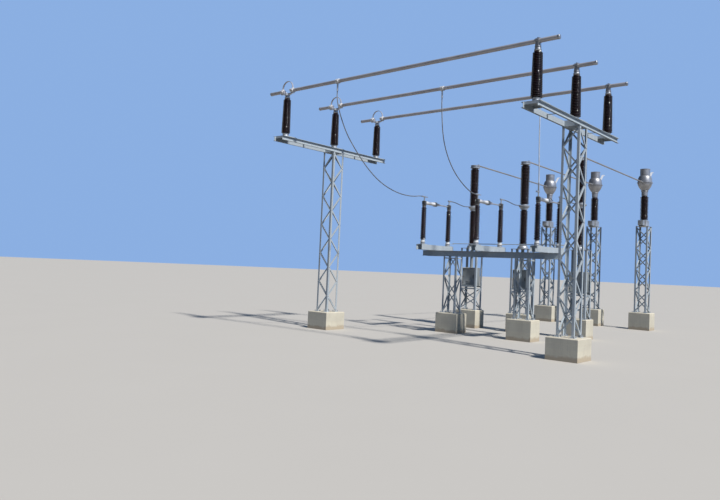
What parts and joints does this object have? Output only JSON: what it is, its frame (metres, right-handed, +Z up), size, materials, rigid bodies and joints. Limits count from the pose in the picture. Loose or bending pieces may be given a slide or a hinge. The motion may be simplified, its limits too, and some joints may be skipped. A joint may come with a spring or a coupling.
{
  "type": "outdoor switchgear bay",
  "caption": "High-voltage switchgear bay: tubular busbars on lattice supports, droppers, centre-break disconnector, live-tank circuit breaker and current transformers on concrete blocks.",
  "frame": {"origin": "centre of the underside of the right busbar support's foundation", "axes": "+X along the busbars away from the left support, +Y from the busbars towards the current transformers, +Z up"},
  "size_m": [10.412, 16.349, 8.2318],
  "materials": {
    "concrete": "cast concrete, dusty",
    "galvanised_steel": "hot-dip galvanised, dull grey",
    "brown_porcelain": "glossy dark brown glaze",
    "cast_aluminium": "cast, satin",
    "aluminium_tube": "drawn tube, weathered",
    "aluminium_rope": "stranded conductor, weathered",
    "cabinet_paint": "grey paint, satin"
  },
  "bodies": {
    "fixed_frame": {"right_foundation": "concrete", "left_foundation": "concrete", "equipment_foundations": "concrete", "column_legs": "galvanised_steel", "column_bracing": "galvanised_steel", "column_plates": "galvanised_steel", "crossbeam_channels": "galvanised_steel", "crossbeam_cross_members": "galvanised_steel", "post_insulators": "brown_porcelain", "post_insulator_fittings": "cast_aluminium", "busbar_clamps": "cast_aluminium", "expansion_clamps": "cast_aluminium", "expansion_loops": "aluminium_tube", "busbars": "aluminium_tube", "busbar_stubs": "aluminium_tube", "busbar_end_plugs": "cast_aluminium", "dropper_clamps": "cast_aluminium", "near_dropper": "aluminium_rope", "middle_dropper": "aluminium_rope", "far_dropper": "aluminium_rope", "equipment_foot_plates": "galvanised_steel", "trestle_legs": "galvanised_steel", "trestle_bracing": "galvanised_steel", "table_channels": "galvanised_steel", "pole_bases": "galvanised_steel", "bearing_housings": "cast_aluminium", "terminal_heads": "cast_aluminium", "breaker_legs": "galvanised_steel", "breaker_bracing": "galvanised_steel", "breaker_cabinets": "cabinet_paint", "breaker_bases": "cast_aluminium", "breaker_insulators": "brown_porcelain", "breaker_flanges": "cast_aluminium", "lead_1": "aluminium_rope", "lead_2": "aluminium_rope", "lead_3": "aluminium_rope", "ct_legs": "galvanised_steel", "ct_bracing": "galvanised_steel", "ct_bases": "cast_aluminium", "ct_insulators": "brown_porcelain", "ct_heads": "cast_aluminium", "link_tubes": "aluminium_tube"},
    "near_rotor_1": {"near_post_1": "brown_porcelain", "near_arm_1": "cast_aluminium"},
    "far_rotor_1": {"far_post_1": "brown_porcelain", "far_arm_1": "cast_aluminium"},
    "near_rotor_2": {"near_post_2": "brown_porcelain", "near_arm_2": "cast_aluminium"},
    "far_rotor_2": {"far_post_2": "brown_porcelain", "far_arm_2": "cast_aluminium"},
    "near_rotor_3": {"near_post_3": "brown_porcelain", "near_arm_3": "cast_aluminium"},
    "far_rotor_3": {"far_post_3": "brown_porcelain", "far_arm_3": "cast_aluminium"},
    "coupling_rod": {"coupling_rod": "galvanised_steel"}
  },
  "joints": [
    {"name": "near_post_1_turn", "type": "hinge", "parent": "fixed_frame", "child": "near_rotor_1", "pos_m": [-6.75, 2.49, 3.135], "axis": [0, 0, -1], "range_deg": [0, 90]},
    {"name": "far_post_1_turn", "type": "hinge", "parent": "fixed_frame", "child": "far_rotor_1", "pos_m": [-6.75, 4.09, 3.135], "axis": [0, 0, 1], "range_deg": [0, 90]},
    {"name": "near_post_2_turn", "type": "hinge", "parent": "fixed_frame", "child": "near_rotor_2", "pos_m": [-4.5, 2.49, 3.135], "axis": [0, 0, -1], "range_deg": [0, 90]},
    {"name": "far_post_2_turn", "type": "hinge", "parent": "fixed_frame", "child": "far_rotor_2", "pos_m": [-4.5, 4.09, 3.135], "axis": [0, 0, 1], "range_deg": [0, 90]},
    {"name": "near_post_3_turn", "type": "hinge", "parent": "fixed_frame", "child": "near_rotor_3", "pos_m": [-2.25, 2.49, 3.135], "axis": [0, 0, -1], "range_deg": [0, 90]},
    {"name": "far_post_3_turn", "type": "hinge", "parent": "fixed_frame", "child": "far_rotor_3", "pos_m": [-2.25, 4.09, 3.135], "axis": [0, 0, 1], "range_deg": [0, 90]},
    {"name": "coupling_rod_turn", "type": "hinge", "parent": "far_rotor_1", "child": "coupling_rod", "pos_m": [-6.59444, 4.24556, 3.246], "axis": [0, 0, -1], "range_deg": [0, 90]}
  ],
  "couplings": [
    {"joint": "far_post_1_turn", "follows": "near_post_1_turn", "ratio": 1},
    {"joint": "near_post_2_turn", "follows": "near_post_1_turn", "ratio": 1},
    {"joint": "far_post_2_turn", "follows": "near_post_1_turn", "ratio": 1},
    {"joint": "near_post_3_turn", "follows": "near_post_1_turn", "ratio": 1},
    {"joint": "far_post_3_turn", "follows": "near_post_1_turn", "ratio": 1},
    {"joint": "coupling_rod_turn", "follows": "near_post_1_turn", "ratio": 1}
  ]
}
